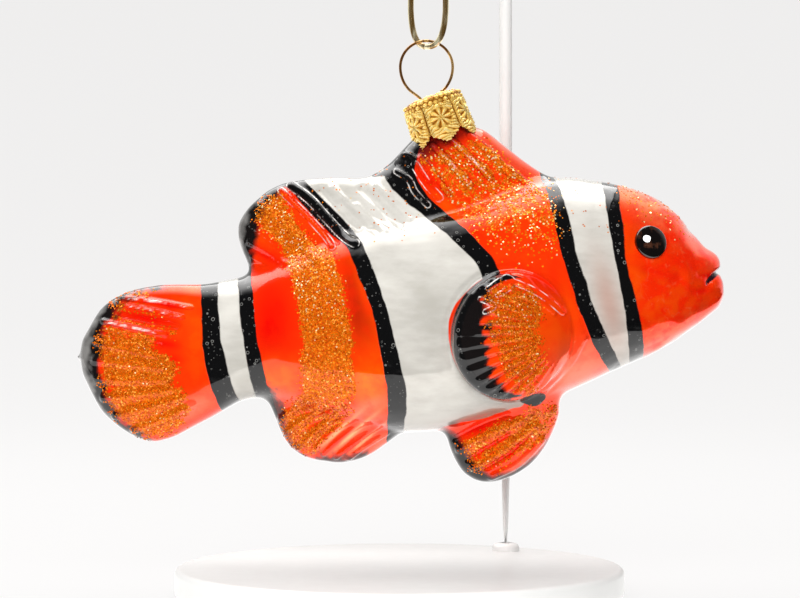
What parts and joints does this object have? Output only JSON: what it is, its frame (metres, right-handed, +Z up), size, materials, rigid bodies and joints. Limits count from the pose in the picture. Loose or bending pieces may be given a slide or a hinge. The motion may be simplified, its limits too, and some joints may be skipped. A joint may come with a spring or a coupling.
{
  "type": "blown-glass clownfish ornament",
  "caption": "Glossy blown-glass clownfish ornament with glitter, a gold crown cap and a wire ring, hung by a brass link from a plain white display stand.",
  "frame": {"origin": "middle of the model's box on the surface that the stand rests on", "axes": "+X towards the fish's mouth, +Z up, so the fish's right flank faces -Y"},
  "size_m": [0.116, 0.08, 0.1288],
  "materials": {
    "painted_glass": "blown glass, painted orange-red and pearl white with black lines, glossy clear lacquer",
    "black_enamel": "glossy black enamel with a white dot",
    "white_enamel": "glossy white enamel dot",
    "glitter": "fine copper-gold glitter flakes glued on the paint",
    "gold_foil": "stamped gold-coloured sheet, embossed and shiny",
    "brass_wire": "bright drawn wire",
    "white_lacquer": "satin white paint on steel"
  },
  "bodies": {
    "root": {"glass_head": "painted_glass", "glass_trunk": "painted_glass", "glass_tail_stalk": "painted_glass", "glass_tail_fin": "painted_glass", "glass_dorsal_fin_front": "painted_glass", "glass_dorsal_fin_rear": "painted_glass", "glass_anal_fin": "painted_glass", "glass_pelvic_fins": "painted_glass", "glass_pectoral_fin_left": "painted_glass", "glass_pectoral_fin_right": "painted_glass", "eye_left": "black_enamel", "eye_right": "black_enamel", "cap": "gold_foil", "hanging_ring": "brass_wire", "stand_link": "brass_wire", "stand_rod": "white_lacquer", "stand_base": "white_lacquer"}
  },
  "joints": []
}
